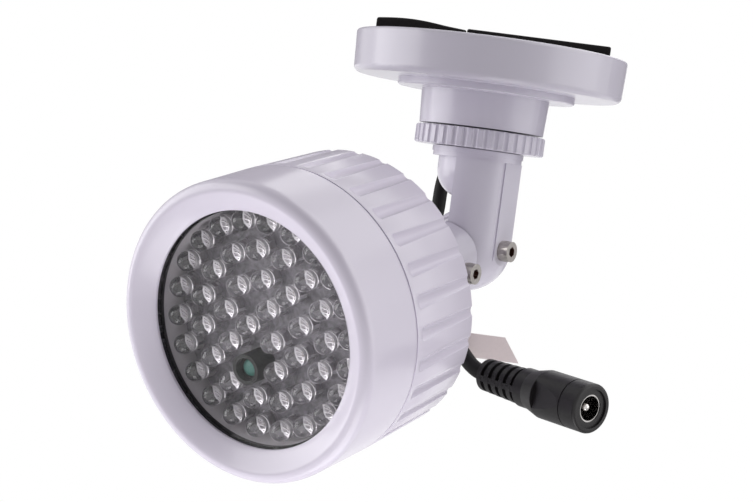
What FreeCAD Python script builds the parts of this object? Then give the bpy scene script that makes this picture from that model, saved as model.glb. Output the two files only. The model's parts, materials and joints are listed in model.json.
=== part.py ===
import FreeCAD, Part
import math
import os
import re
import Sketcher
from FreeCAD import Placement, Rotation, Vector

# Infrared illuminator: a round lamp head on a ball-ended knuckle, hung from a ceiling bracket.
# Row frame, in millimetres: +Z is up and is the bracket's turning axis, the origin lies on the
# ceiling plane where the foam pads touch it, and the lamp faces -Y.
# The head has a frame of its own with its origin on the hinge: Z forward along the lamp axis,
# X along the hinge and Y up.

SIZES = {
    # Foam pads and bracket disc
    "pad_thickness": 2.6,
    "pad_end_inset": 5.9,
    "pad_half_width": 16.0,
    "pad_split_place": 7.0,
    "pad_split_gap": 0.4,
    "pad_turn": 31.0,
    "disc_radius": 36.9,
    "disc_taper": 0.5,
    "disc_thickness": 11.4,
    "disc_edge_round": 1.75,
    "disc_top_round": 0.8,
    "disc_wall": 2.5,
    "plate_thickness": 2.0,
    "plate_play": 0.1,
    "snap_depth": 0.4,
    "ledge_width": 1.7,
    "step_radius": 24.1,
    "step_height": 1.9,
    "step_round": 0.5,
    "boss_radius": 17.4,
    "boss_taper": 0.5,
    "boss_height": 9.34,
    "hub_wall": 2.6,
    # Lock ring
    "ring_radius": 17.6,
    "ring_height": 5.1,
    "ring_top_gap": 0.45,
    "ring_low_gap": 0.2,
    "ring_edge_round": 0.6,
    "scallop_count": 40,
    "scallop_radius": 0.95,
    "scallop_depth": 0.55,
    # Arm and its turning stem
    "stem_radius": 8.5,
    "running_play": 0.05,
    "end_play": 0.1,
    "flange_radius": 12.4,
    "flange_height": 1.4,
    "shoulder_radius": 12.1,
    "shoulder_height": 1.2,
    "hinge_drop": 57.0,
    "arm_radius": 12.3,
    "arm_lap_face": 1.0,
    "cheek_face": 11.2,
    "cheek_strip_face": 11.6,
    "cheek_strip_half_width": 3.9,
    "lobe_radius": 10.4,
    "lobe_clearance": 2.45,
    "lobe_rim": 0.5,
    "lobe_round": 7.5,
    "pivot_screw_radius": 2.0,
    "pivot_screw_length": 12.0,
    "pivot_bore_relief": 1.0,
    "pivot_head_radius": 3.6,
    "pivot_head_height": 2.6,
    "pivot_washer_radius": 11.6,
    "pivot_washer_thickness": 1.0,
    # Small socket screws of the hinge and the clamp
    "screw_radius": 1.5,
    "screw_play": 0.1,
    "screw_head_radius": 2.75,
    "screw_head_height": 3.0,
    "socket_flats": 2.5,
    "socket_depth": 1.6,
    "nut_flats": 5.5,
    "nut_height": 2.4,
    "washer_radius": 3.4,
    "washer_thickness": 0.5,
    "hinge_screw_length": 20.0,
    "clamp_screw_length": 18.0,
    # Knuckle
    "rest_pitch": 14.9,
    "lap_play": 0.1,
    "lug_radius": 10.15,
    "lug_recess_face": 5.4,
    "lug_recess_radius": 3.9,
    "collar_radius": 9.1,
    "collar_front": 27.0,
    "clamp_gap": 0.3,
    "pocket_play": 0.4,
    "clamp_boss_radius": 3.5,
    "clamp_boss_face": 9.3,
    "nut_seat_face": 5.8,
    "first_clamp_forward": 14.5,
    "first_clamp_up": -3.1,
    "second_clamp_forward": 23.0,
    "second_clamp_up": -6.2,
    # Tail post
    "tail_tip": 17.5,
    "bead_setback": 0.5,
    "bead_slope": 0.4,
    "bead_width": 1.0,
    "neck_gap": 0.4,
    "tail_neck_radius": 4.0,
    "tail_bead_radius": 5.0,
    "tail_shaft_radius": 6.5,
    "tail_flange_radius": 11.0,
    "tail_flange_height": 3.0,
    "tail_cone_length": 3.0,
    "tail_stud_radius": 3.9,
    "tail_stud_length": 8.5,
    "tail_nut_flats": 13.0,
    "tail_nut_height": 4.0,
    "tail_play": 0.1,
    # Ribbed rear housing
    "rear_face": 53.9,
    "rear_taper": 0.65,
    "shell_radius": 36.5,
    "back_wall": 3.0,
    "seam_face": 78.2,
    "seam_gap": 0.4,
    "seam_depth": 0.7,
    "bezel_wall": 2.5,
    "spigot_length": 3.4,
    "spigot_wall": 2.1,
    "flute_count": 30,
    "flute_start": 1.8,
    "flute_radius": 2.0,
    "flute_depth": 1.1,
    "flute_tip_length": 2.0,
    "flute_tip_radius": 0.5,
    "flute_turn": 0.6,
    "tool_overrun": 1.0,
    # Front bezel, window and the rings under it
    "bezel_front": 97.75,
    "bezel_round": 2.45,
    "bezel_crest_width": 2.6,
    "crest_round": 1.2,
    "lip_cover": 2.4,
    "lip_face": 94.4,
    "lip_thickness": 0.8,
    "window_seat_wall": 5.3,
    "window_thickness": 1.5,
    "window_play": 0.1,
    "gasket_width": 2.7,
    "gasket_thickness": 1.1,
    "spacer_wall": 2.3,
    "thread_play": 0.1,
    # Emitter board and its emitters
    "board_inset": 0.9,
    "board_thickness": 1.6,
    "emitter_radius": 2.5,
    "emitter_height": 8.6,
    "emitter_foot_radius": 2.9,
    "emitter_foot_height": 1.0,
    "emitter_rim_gap": 0.5,
    "inner_ring_radius": 4.6,
    "second_ring_share": 0.32,
    "third_ring_share": 0.665,
    "inner_count": 3,
    "inner_turn": 67.0,
    "second_count": 9,
    "second_turn": 8.0,
    "third_count": 15,
    "third_turn": 20.5,
    "outer_count": 22,
    "outer_turn": 84.2,
    "sensor_step_count": 6,
    "sensor_gap": 6.5,
    "sensor_sleeve_radius": 3.75,
    "sensor_sleeve_bore": 2.85,
    "sensor_sleeve_height": 7.0,
    "sensor_radius": 2.75,
    "sensor_height": 5.6,
    # Driver board behind the emitters
    "driver_clearance": 3.3,
    "driver_post_count": 3,
    "driver_post_turn": 90.0,
    "driver_post_height": 7.5,
    "driver_post_radius": 3.0,
    "driver_post_inset": 4.5,
    "driver_screw_radius": 1.2,
    "driver_screw_head": 2.4,
    "driver_screw_length": 6.0,
    "coil_inset": 6.0,
    "parts_inset": 8.0,
    "coil_radius": 6.0,
    "coil_height": 8.0,
    "capacitor_radius": 4.0,
    "capacitor_height": 10.0,
    "chip_length": 8.0,
    "chip_width": 6.0,
    "chip_height": 2.0,
    "header_length": 14.0,
    "header_width": 2.6,
    # Cable, its grommet and the power jack
    "cable_radius": 2.0,
    "grommet_side": -20.5,
    "grommet_up": -4.5,
    "grommet_flange_radius": 5.0,
    "grommet_flange_height": 1.5,
    "grommet_body_radius": 3.2,
    "grommet_boot_radius": 4.0,
    "grommet_tip_radius": 2.9,
    "grommet_boot_length": 4.5,
    "jack_turn": -16.53,
    "jack_tilt": 93.33,
    "jack_length": 19.6,
    "jack_radius": 6.05,
    "jack_shoulder_radius": 4.9,
    "jack_flare_length": 4.5,
    "jack_edge_round": 0.7,
    "jack_seam_setback": 5.4,
    "jack_seam_width": 0.3,
    "jack_seam_depth": 0.2,
    "jack_rim_bore": 4.75,
    "jack_rim_depth": 0.5,
    "jack_flat_setback": 14.8,
    "jack_flat_length": 8.9,
    "jack_flat_depth": 1.1,
    "relief_length": 18.0,
    "relief_radius": 4.1,
    "relief_tip_radius": 2.9,
    "relief_tip_length": 1.0,
    "relief_neck_length": 3.0,
    "relief_swell": 0.1,
    "relief_groove_depth": 0.8,
    "relief_groove_width": 1.3,
    "groove_count": 5,
    "socket_bore": 3.35,
    "socket_bore_depth": 9.5,
    "sleeve_wall": 0.35,
    "sleeve_setback": 0.2,
    "pin_radius": 1.03,
    "pin_setback": 1.2,
    "label_length": 16.1,
    "label_top_length": 11.8,
    "label_width": 6.2,
    "label_drop": 2.6,
    "label_thickness": 0.3,
    "label_hole_play": 0.4,
    "label_end_width": 1.2,
    "label_turn": 34.1,
}

# Route of the loose cable from the grommet to the strain relief, in the row frame.
CABLE_ROUTE = [
    (-20.5, -45.13, -73.67),
    (-20.5, -33.53, -70.58),
    (-20.5, -9.5, -68.5),
    (-20.5, 16.2, -58.5),
    (-20.5, 16.2, -33.5),
    (-20.5, 34.6, -33.5),
    (-23.0, 33.5, -56.0),
    (-21.0, 24.0, -74.0),
    (-13.0, 9.0, -82.0),
    (-2.0, -6.0, -82.0),
    (11.6, -19.9, -80.0),
    (19.4, -26.9, -83.3),
    (25.87, -30.06, -86.87),
    (29.7, -31.2, -87.1),
]
ROUND_SHARE = 0.45
# How far along the run before the last bend but one the label hangs
LABEL_SHARE = 0.6

document = FreeCAD.newDocument("InfraredIlluminator")
sheet = document.addObject("Spreadsheet::Sheet", "Sizes")
for row, (word, number) in enumerate(SIZES.items(), start=1):
    sheet.set(f"A{row}", word)
    sheet.set(f"B{row}", str(number))
    sheet.setAlias(f"B{row}", word)
document.recompute()

parts = {}


# Sizes and expressions

def sized(text):
    """Return the expression with each size's name led by the name of the sheet."""
    def led(word):
        return "Sizes." + word.group() if word.group() in SIZES else word.group()
    return re.sub(r"[a-z][a-z_]*", led, str(text))


def size(text):
    """Return the value in millimetres or degrees of an expression."""
    return float(sheet.evalExpression(sized(text)))


def bind(item, **sizes):
    """Bind each named property of the object to its expression."""
    for name, text in sizes.items():
        item.setExpression(name, sized(text))
    return item


def place(item, at=("0", "0", "0"), axis=None, angle="0"):
    """Put the object at a point given by three expressions, turned about an axis."""
    if axis is not None:
        item.Placement = Placement(Vector(), Rotation(Vector(*axis), 90))
        item.setExpression("Placement.Rotation.Angle", sized(angle))
    for letter, text in zip("xyz", at):
        item.setExpression("Placement.Base." + letter, sized(text))
    return item


def on_head(item):
    """Put an object that is drawn in the head's frame in its place in the row frame."""
    return place(item, ("0", "0", "-hinge_drop"), (1, 0, 0), "90 + rest_pitch")


def keep(item, label):
    """Name the object as one of the sub-parts."""
    item.Label = label
    parts[label] = item
    return item


# Simple solids and booleans

def cylinder(name, radius, height, at=("0", "0", "0"), axis=None, angle="90"):
    """Return a cylinder that stands on a point, along Z unless it is turned."""
    item = bind(document.addObject("Part::Cylinder", name), Radius=radius, Height=height)
    return place(item, at, axis, angle)


def rod(name, radius, low, high, up="0", forward="0"):
    """Return a cylinder along X from low to high, in whichever frame it is drawn."""
    return cylinder(name, radius, f"{high} - ({low})", (low, up, forward), (0, 1, 0), "90")


def ball(name, radius, at=("0", "0", "0")):
    """Return a sphere about a point."""
    return place(bind(document.addObject("Part::Sphere", name), Radius=radius), at)


def block(name, low, high):
    """Return a box between two corners, each given by three expressions."""
    sides = [f"{top} - ({bottom})" for bottom, top in zip(low, high)]
    item = bind(document.addObject("Part::Box", name), Length=sides[0], Width=sides[1], Height=sides[2])
    return place(item, low)


def hexagon(name, flats, height, at, axis=None, angle="90"):
    """Return a six-sided prism that is the given size across its flats."""
    item = document.addObject("Part::Prism", name)
    item.Polygon = 6
    bind(item, Circumradius=f"{flats} / 2 / cos(30)", Height=height)
    return place(item, at, axis, angle)


def joined(name, *items):
    """Return the items fused into one."""
    if len(items) == 1:
        return items[0]
    item = document.addObject("Part::MultiFuse", name)
    item.Shapes = list(items)
    item.Refine = True
    return item


def cut(name, base, *tools):
    """Return the base less the tools."""
    item = document.addObject("Part::Cut", name)
    item.Base = base
    item.Tool = joined(name + "Tools", *tools)
    item.Refine = True
    return item


def shared(name, first, second):
    """Return what both items fill."""
    item = document.addObject("Part::Common", name)
    item.Base = first
    item.Tool = second
    return item


# Turned bodies

def origin_plane(body, role):
    """Return the body's own origin plane of that role."""
    return next(plane for plane in body.Origin.OriginFeatures if plane.Role == role)


def turned(name, outline):
    """Return a body turned about Z from a closed outline of (radius, height) expressions."""
    body = document.addObject("PartDesign::Body", name)
    sketch = body.newObject("Sketcher::SketchObject", name + "Outline")
    sketch.AttachmentSupport = [(origin_plane(body, "XZ_Plane"), "")]
    sketch.MapMode = "FlatFace"
    corners = [Vector(size(across), size(up), 0) for across, up in outline]
    for start, end in zip(corners, corners[1:] + corners[:1]):
        sketch.addGeometry(Part.LineSegment(start, end), False)
    last = len(corners) - 1
    for index in range(len(corners)):
        following = 0 if index == last else index + 1
        sketch.addConstraint(Sketcher.Constraint("Coincident", index, 2, following, 1))
    for index, (across, up) in enumerate(outline):
        for kind, text, axis, number in (
            ("DistanceX", across, -2, corners[index].x),
            ("DistanceY", up, -1, corners[index].y),
        ):
            if text == "0":
                sketch.addConstraint(Sketcher.Constraint("PointOnObject", index, 1, axis))
            else:
                made = sketch.addConstraint(Sketcher.Constraint(kind, -1, 1, index, 1, number))
                sketch.setExpression(f"Constraints[{made}]", sized(text))
    revolve = body.newObject("PartDesign::Revolution", name + "Turn")
    revolve.Profile = sketch
    revolve.ReferenceAxis = (sketch, ["V_Axis"])
    revolve.Angle = 360
    sketch.Visibility = False
    return body


def rounded(body, radius, *rings):
    """Round the circular edges of the body that have the given (radius, height)."""
    document.recompute()
    base = body.Tip
    wanted = [(size(across), size(up)) for across, up in rings]
    chosen = []
    for index, edge in enumerate(base.Shape.Edges, start=1):
        if not isinstance(edge.Curve, Part.Circle):
            continue
        radius_here, height_here = edge.Curve.Radius, edge.Curve.Center.z
        if any(math.hypot(radius_here - across, height_here - up) < 1e-4 for across, up in wanted):
            chosen.append(f"Edge{index}")
    fillet = body.newObject("PartDesign::Fillet", body.Name + "Round")
    fillet.Base = (base, chosen)
    fillet.setExpression("Radius", sized(radius))
    body.Tip = fillet
    return body


def patterned(body, tools, count):
    """Repeat the cutting features evenly about the body's Z axis."""
    document.recompute()
    pattern = body.newObject("PartDesign::PolarPattern", body.Name + "Pattern")
    pattern.Originals = tools
    axis = next(line for line in body.Origin.OriginFeatures if line.Role == "Z_Axis")
    pattern.Axis = (axis, [""])
    pattern.Angle = 360
    pattern.setExpression("Occurrences", sized(count))
    body.Tip = pattern
    return body


def cutting_rod(body, name, radius, low, high, across, turn="0"):
    """Cut a round channel along Z from the body, its centre line at a distance from the axis."""
    tool = body.newObject("PartDesign::SubtractiveCylinder", name)
    bind(tool, Radius=radius, Height=f"{high} - ({low})")
    tool.AttachmentSupport = [(origin_plane(body, "XY_Plane"), "")]
    tool.MapMode = "FlatFace"
    tool.setExpression(".AttachmentOffset.Base.x", sized(f"({across}) * cos({turn})"))
    tool.setExpression(".AttachmentOffset.Base.y", sized(f"({across}) * sin({turn})"))
    tool.setExpression(".AttachmentOffset.Base.z", sized(low))
    return tool


def cutting_cone(body, name, radius, tip_radius, low, length, across, turn="0"):
    """Cut a cone that narrows along Z from the body, its centre line at a distance from the axis."""
    tool = body.newObject("PartDesign::SubtractiveCone", name)
    bind(tool, Radius1=radius, Radius2=tip_radius, Height=length)
    tool.AttachmentSupport = [(origin_plane(body, "XY_Plane"), "")]
    tool.MapMode = "FlatFace"
    tool.setExpression(".AttachmentOffset.Base.x", sized(f"({across}) * cos({turn})"))
    tool.setExpression(".AttachmentOffset.Base.y", sized(f"({across}) * sin({turn})"))
    tool.setExpression(".AttachmentOffset.Base.z", sized(low))
    return tool


# Bracket heights

DISC_TOP = "-pad_thickness"
DISC_LOW = f"{DISC_TOP} - disc_thickness"
STEP_LOW = f"{DISC_LOW} - step_height"
BOSS_LOW = f"{STEP_LOW} - boss_height"
FLOOR_TOP = f"{DISC_LOW} + disc_wall"
RING_TOP = f"{BOSS_LOW} - ring_top_gap"
RING_LOW = f"{RING_TOP} - ring_height"
FLANGE_TOP = f"{RING_LOW} - ring_low_gap"
SHOULDER_TOP = f"{FLANGE_TOP} - flange_height"
POST_TOP = f"{SHOULDER_TOP} - shoulder_height"
STEM_TOP = f"{FLOOR_TOP} + end_play"
WASHER_TOP = f"{STEM_TOP} + pivot_washer_thickness"
HINGE = "-hinge_drop"


# Foam pads between the bracket and the ceiling

def foam_pad(label, low, high):
    """Make one foam strip from low to high along the pads' long direction."""
    pad = bind(
        document.addObject("Part::Box", "Foam"),
        Length=f"{high} - ({low})", Width="2 * pad_half_width", Height="pad_thickness",
    )
    pad.Placement = Placement(Vector(), Rotation(Vector(0, 0, 1), 90))
    pad.setExpression("Placement.Rotation.Angle", sized("pad_turn"))
    pad.setExpression("Placement.Base.x", sized(f"({low}) * cos(pad_turn) + pad_half_width * sin(pad_turn)"))
    pad.setExpression("Placement.Base.y", sized(f"({low}) * sin(pad_turn) - pad_half_width * cos(pad_turn)"))
    pad.setExpression("Placement.Base.z", sized(DISC_TOP))
    keep(pad, label)


PAD_END = "(disc_radius - pad_end_inset)"
foam_pad("foam_pad_left", f"-{PAD_END}", "-pad_split_place - pad_split_gap / 2")
foam_pad("foam_pad_right", "-pad_split_place + pad_split_gap / 2", PAD_END)


# Bracket disc: a moulded shell with its step, boss and cored hub

LEDGE = f"{DISC_TOP} - plate_thickness"
RIM_BORE = "disc_radius - disc_wall"
DISC_LOW_RADIUS = "disc_radius - disc_taper"
BOSS_LOW_RADIUS = "boss_radius - boss_taper"
SNAP_HEIGHT = f"{DISC_TOP} - plate_thickness / 2"
disc = turned("BaseDisc", [
    ("disc_radius", DISC_TOP),
    (DISC_LOW_RADIUS, DISC_LOW),
    ("step_radius", DISC_LOW),
    ("step_radius", STEP_LOW),
    ("boss_radius", STEP_LOW),
    (BOSS_LOW_RADIUS, BOSS_LOW),
    ("stem_radius + running_play", BOSS_LOW),
    ("stem_radius + running_play", FLOOR_TOP),
    ("stem_radius + hub_wall", FLOOR_TOP),
    ("stem_radius + hub_wall", f"{BOSS_LOW} + disc_wall"),
    (f"{BOSS_LOW_RADIUS} - disc_wall", f"{BOSS_LOW} + disc_wall"),
    (f"{BOSS_LOW_RADIUS} - disc_wall", FLOOR_TOP),
    (f"{RIM_BORE} - ledge_width", FLOOR_TOP),
    (f"{RIM_BORE} - ledge_width", LEDGE),
    (RIM_BORE, LEDGE),
    (RIM_BORE, f"{SNAP_HEIGHT} - snap_depth"),
    (f"{RIM_BORE} + snap_depth", SNAP_HEIGHT),
    (RIM_BORE, f"{SNAP_HEIGHT} + snap_depth"),
    (RIM_BORE, DISC_TOP),
])
rounded(disc, "disc_edge_round", (DISC_LOW_RADIUS, DISC_LOW))
rounded(disc, "disc_top_round", ("disc_radius", DISC_TOP))
rounded(disc, "step_round", ("step_radius", STEP_LOW))
keep(disc, "base_disc")

# Plate that snaps into the disc's rim and carries the pads
PLATE_RADIUS = f"{RIM_BORE} - plate_play"
plate = turned("BasePlate", [
    ("0", LEDGE),
    (PLATE_RADIUS, LEDGE),
    (PLATE_RADIUS, f"{SNAP_HEIGHT} - snap_depth"),
    (f"{PLATE_RADIUS} + snap_depth", SNAP_HEIGHT),
    (PLATE_RADIUS, f"{SNAP_HEIGHT} + snap_depth"),
    (PLATE_RADIUS, DISC_TOP),
    ("0", DISC_TOP),
])
keep(plate, "base_plate")

# Knurled lock ring that jams the stem against the boss
ring = turned("LockRing", [
    ("stem_radius + running_play", RING_LOW),
    ("ring_radius", RING_LOW),
    ("ring_radius", RING_TOP),
    ("stem_radius + running_play", RING_TOP),
])
rounded(ring, "ring_edge_round", ("ring_radius", RING_LOW), ("ring_radius", RING_TOP))
scallop = cutting_rod(
    ring, "Scallop", "scallop_radius", f"{RING_LOW} - tool_overrun", f"{RING_TOP} + tool_overrun",
    "ring_radius + scallop_radius - scallop_depth",
)
patterned(ring, [scallop], "scallop_count")
keep(ring, "lock_ring")


# Arm: stem, flange, half-round post with a ball end, and the round lobe beside it

post = joined(
    "PostRound",
    cylinder("PostTube", "arm_radius", f"{POST_TOP} + hinge_drop", ("0", "0", HINGE)),
    ball("PostBall", "arm_radius", ("0", "0", HINGE)),
)
cheeks = joined(
    "CheekSpace",
    block(
        "CheekWide",
        ("arm_lap_face", "-arm_radius", f"{HINGE} - arm_radius"),
        ("cheek_face", "arm_radius", POST_TOP),
    ),
    block(
        "CheekStrip",
        ("arm_lap_face", "-cheek_strip_half_width", f"{HINGE} - arm_radius"),
        ("cheek_strip_face", "cheek_strip_half_width", POST_TOP),
    ),
)
half_post = shared("HalfPost", post, cheeks)
LOBE_LOW = f"{HINGE} + lug_radius + lobe_clearance"
lobe = turned("Lobe", [
    ("0", LOBE_LOW),
    ("lobe_radius", LOBE_LOW),
    ("lobe_radius", POST_TOP),
    ("0", POST_TOP),
])
rounded(lobe, f"min(lobe_round; {POST_TOP} - ({LOBE_LOW}) - lobe_rim)", ("lobe_radius", LOBE_LOW))
arm_solid = joined(
    "ArmSolid",
    half_post,
    lobe,
    cylinder("ArmShoulder", "shoulder_radius", "shoulder_height", ("0", "0", POST_TOP)),
    cylinder("ArmFlange", "flange_radius", "flange_height", ("0", "0", SHOULDER_TOP)),
    cylinder("ArmStem", "stem_radius", f"{STEM_TOP} - ({FLANGE_TOP})", ("0", "0", FLANGE_TOP)),
)
arm = cut(
    "ArmBody",
    arm_solid,
    rod("ArmHingeBore", "screw_radius + screw_play", "0", "arm_radius", "0", HINGE),
    cylinder(
        "ArmPivotBore", "pivot_screw_radius + screw_play", "pivot_screw_length + 2 * pivot_bore_relief",
        ("0", "0", f"{STEM_TOP} - pivot_screw_length - pivot_bore_relief"),
    ),
)
keep(arm, "arm_body")

# Washer and screw that hold the stem in the boss
WASHER_AT = ("0", "0", STEM_TOP)
keep(
    cut(
        "PivotWasher",
        cylinder("PivotWasherDisc", "pivot_washer_radius", "pivot_washer_thickness", WASHER_AT),
        cylinder("PivotWasherHole", "pivot_screw_radius + screw_play", "pivot_washer_thickness", WASHER_AT),
    ),
    "pivot_washer",
)
keep(
    cut(
        "PivotScrew",
        joined(
            "PivotScrewSolid",
            cylinder("PivotHead", "pivot_head_radius", "pivot_head_height", ("0", "0", WASHER_TOP)),
            cylinder(
                "PivotShank", "pivot_screw_radius", "pivot_screw_length",
                ("0", "0", f"{WASHER_TOP} - pivot_screw_length"),
            ),
        ),
        hexagon(
            "PivotSocket", "pivot_head_radius", "pivot_head_height",
            ("0", "0", f"{WASHER_TOP} + pivot_head_height / 2"),
        ),
    ),
    "pivot_screw",
)


# Socket screws, nuts and washers along X

def socket_screw(name, seat, length, up, forward):
    """Return a socket-head screw along X, its head resting on the seat and pointing to +X."""
    head = rod(name + "Head", "screw_head_radius", seat, f"{seat} + screw_head_height", up, forward)
    shank = rod(name + "Shank", "screw_radius", f"{seat} - {length}", seat, up, forward)
    floor = f"{seat} + screw_head_height - socket_depth"
    socket = hexagon(name + "Socket", "socket_flats", "socket_depth", (floor, up, forward), (0, 1, 0))
    return cut(name, joined(name + "Solid", head, shank), socket)


def nut(name, low, up, forward):
    """Return a hexagon nut along X that starts at low."""
    prism = hexagon(name + "Prism", "nut_flats", "nut_height", (low, up, forward), (0, 1, 0))
    bore = rod(name + "Bore", "screw_radius", low, f"{low} + nut_height", up, forward)
    return cut(name, prism, bore)


WASHER_TOP_FACE = "-lug_recess_face - end_play"
HINGE_WASHER = f"{WASHER_TOP_FACE} - washer_thickness"
HINGE_NUT = f"{HINGE_WASHER} - nut_height"
keep(socket_screw("HingeScrew", "cheek_strip_face", "hinge_screw_length", "0", HINGE), "hinge_screw")
keep(nut("HingeNut", HINGE_NUT, "0", HINGE), "hinge_nut")
keep(
    cut(
        "HingeWasher",
        rod("HingeWasherDisc", "washer_radius", HINGE_WASHER, WASHER_TOP_FACE, "0", HINGE),
        rod("HingeWasherHole", "screw_radius", HINGE_WASHER, WASHER_TOP_FACE, "0", HINGE),
    ),
    "hinge_washer",
)


# Knuckle: two halves that clamp the tail post, one with the lug of the hinge

CLAMPS = [("first_clamp_up", "first_clamp_forward"), ("second_clamp_up", "second_clamp_forward")]
NECK_END = "collar_front + neck_gap"
BEAD_BACK = "tail_tip + bead_setback"


def tail_outline(play):
    """Return the tail post's neck and bead, as an outline that is larger by the play."""
    return [
        ("0", f"tail_tip - {play}"),
        (f"tail_neck_radius + {play}", f"tail_tip - {play}"),
        (f"tail_neck_radius + {play}", f"{BEAD_BACK} - {play}"),
        (f"tail_bead_radius + {play}", f"{BEAD_BACK} + bead_slope - {play}"),
        (f"tail_bead_radius + {play}", f"{BEAD_BACK} + bead_slope + bead_width + {play}"),
        (f"tail_neck_radius + {play}", f"{BEAD_BACK} + 2 * bead_slope + bead_width + {play}"),
        (f"tail_neck_radius + {play}", NECK_END),
    ]


def knuckle_bores(name):
    """Return what is cut from both halves: the tail's seat and the holes of the clamp screws."""
    seat = turned(name + "TailSeat", tail_outline("tail_play") + [("0", NECK_END)])
    holes = [
        rod(
            f"{name}ClampHole{index}", "screw_radius + screw_play",
            "-2 * collar_radius", "2 * collar_radius", up, forward,
        )
        for index, (up, forward) in enumerate(CLAMPS)
    ]
    return [seat] + holes


collar_body = cylinder("CollarBody", "collar_radius", "collar_front", ("0", "0", "0"))
lug = ball("Lug", "lug_radius")
BODY_FACE = "arm_lap_face - lap_play"
body_space = block(
    "KnuckleBodySpace",
    ("-2 * lug_radius", "-2 * lug_radius", "-2 * lug_radius"),
    (BODY_FACE, "2 * lug_radius", "collar_front"),
)
knuckle_body = cut(
    "KnuckleBody",
    shared("KnuckleBodyHalf", joined("KnuckleBodyRound", collar_body, lug), body_space),
    rod("LugBore", "screw_radius + running_play", "-2 * lug_radius", BODY_FACE),
    rod("LugRecess", "lug_recess_radius", "-2 * lug_radius", "-lug_recess_face"),
    *knuckle_bores("KnuckleBody"),
    *[
        hexagon(
            f"ClampNutSeat{index}", "nut_flats + 2 * screw_play", "2 * collar_radius",
            ("-nut_seat_face - 2 * collar_radius", up, forward), (0, 1, 0),
        )
        for index, (up, forward) in enumerate(CLAMPS)
    ],
)
keep(on_head(knuckle_body), "knuckle_body")

cap_round = joined(
    "KnuckleCapRound",
    cylinder("CollarCap", "collar_radius", "collar_front"),
    *[
        rod(f"ClampBoss{index}", "clamp_boss_radius", "0", "clamp_boss_face", up, forward)
        for index, (up, forward) in enumerate(CLAMPS)
    ],
)
cap_space = block(
    "KnuckleCapSpace",
    (f"{BODY_FACE} + clamp_gap", "-2 * collar_radius", "0"),
    ("2 * collar_radius", "2 * collar_radius", "collar_front"),
)
knuckle_cap = cut(
    "KnuckleCap",
    shared("KnuckleCapHalf", cap_round, cap_space),
    ball("BallPocket", "arm_radius + pocket_play"),
    cylinder(
        "PostPocket", "arm_radius + pocket_play", "2 * arm_radius",
        ("0", "0", "0"), (1, 0, 0), "-(90 + rest_pitch)",
    ),
    *knuckle_bores("KnuckleCap"),
)
keep(on_head(knuckle_cap), "knuckle_cap")


def copies(label, *items):
    """Make one sub-part that holds the items as separate solids, drawn in the head's frame."""
    item = document.addObject("Part::Compound", label + "Set")
    item.Links = list(items)
    return keep(on_head(item), label)


copies("clamp_screws", *[
    socket_screw(f"ClampScrew{index}", "clamp_boss_face", "clamp_screw_length", up, forward)
    for index, (up, forward) in enumerate(CLAMPS)
])
copies("clamp_nuts", *[
    nut(f"ClampNut{index}", "-nut_seat_face - nut_height", up, forward)
    for index, (up, forward) in enumerate(CLAMPS)
])

# Tail post that carries the head, and the nut that holds it to the back wall
TAIL_FLANGE = "rear_face - tail_flange_height"
tail = turned("TailPost", tail_outline("0") + [
    ("tail_shaft_radius", NECK_END),
    ("tail_shaft_radius", f"{TAIL_FLANGE} - tail_cone_length"),
    ("tail_flange_radius", TAIL_FLANGE),
    ("tail_flange_radius", "rear_face"),
    ("tail_stud_radius", "rear_face"),
    ("tail_stud_radius", "rear_face + tail_stud_length"),
    ("0", "rear_face + tail_stud_length"),
])
keep(on_head(tail), "tail_post")
INNER_WALL = "rear_face + back_wall"
tail_nut = cut(
    "TailNut",
    hexagon("TailNutPrism", "tail_nut_flats", "tail_nut_height", ("0", "0", INNER_WALL)),
    cylinder("TailNutBore", "tail_stud_radius", "tail_nut_height", ("0", "0", INNER_WALL)),
)
keep(on_head(tail_nut), "tail_nut")


# Rear housing: a round cup with flutes that run out at its rear edge

BEZEL_BORE = "shell_radius - bezel_wall"
SPIGOT = f"{BEZEL_BORE} - thread_play"
HOUSING_BORE = f"{SPIGOT} - spigot_wall"
housing_shell = turned("HousingShell", [
    ("tail_stud_radius + tail_play", "rear_face"),
    ("shell_radius - rear_taper", "rear_face"),
    ("shell_radius", "seam_face"),
    (SPIGOT, "seam_face"),
    (SPIGOT, "seam_face + spigot_length"),
    (HOUSING_BORE, "seam_face + spigot_length"),
    (HOUSING_BORE, INNER_WALL),
    ("tail_stud_radius + tail_play", INNER_WALL),
])
FLUTE_ACROSS = "shell_radius + flute_radius - flute_depth"
FLUTE_TIP = "seam_face - flute_start - flute_tip_length"
flute = cutting_rod(
    housing_shell, "Flute", "flute_radius", "rear_face - tool_overrun", FLUTE_TIP, FLUTE_ACROSS, "flute_turn",
)
flute_tip = cutting_cone(
    housing_shell, "FluteTip", "flute_radius", "flute_tip_radius", FLUTE_TIP, "flute_tip_length",
    FLUTE_ACROSS, "flute_turn",
)
patterned(housing_shell, [flute, flute_tip], "flute_count")


def around(radius, turn, count):
    """Return evenly spaced places on a ring, as (across, up) expressions; turn and count are sizes."""
    angles = [f"({turn} + 360 / {count} * {index})" for index in range(int(SIZES[count]))]
    return [(f"({radius}) * cos{angle}", f"({radius}) * sin{angle}") for angle in angles]


DRIVER_RADIUS = f"{HOUSING_BORE} - driver_clearance"
posts = around(f"{DRIVER_RADIUS} - driver_post_inset", "driver_post_turn", "driver_post_count")
housing = cut(
    "RearHousing",
    joined("HousingWithPosts", housing_shell, *[
        cylinder(f"DriverPost{index}", "driver_post_radius", "driver_post_height", (across, up, INNER_WALL))
        for index, (across, up) in enumerate(posts)
    ]),
    cylinder(
        "GrommetHole", "grommet_body_radius", "back_wall + 2 * tool_overrun",
        ("grommet_side", "grommet_up", "rear_face - tool_overrun"),
    ),
    *[
        cylinder(
            f"DriverPostHole{index}", "driver_screw_radius", "driver_screw_length",
            (across, up, f"{INNER_WALL} + driver_post_height - driver_screw_length"),
        )
        for index, (across, up) in enumerate(posts)
    ],
)
keep(on_head(housing), "rear_housing")

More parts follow.
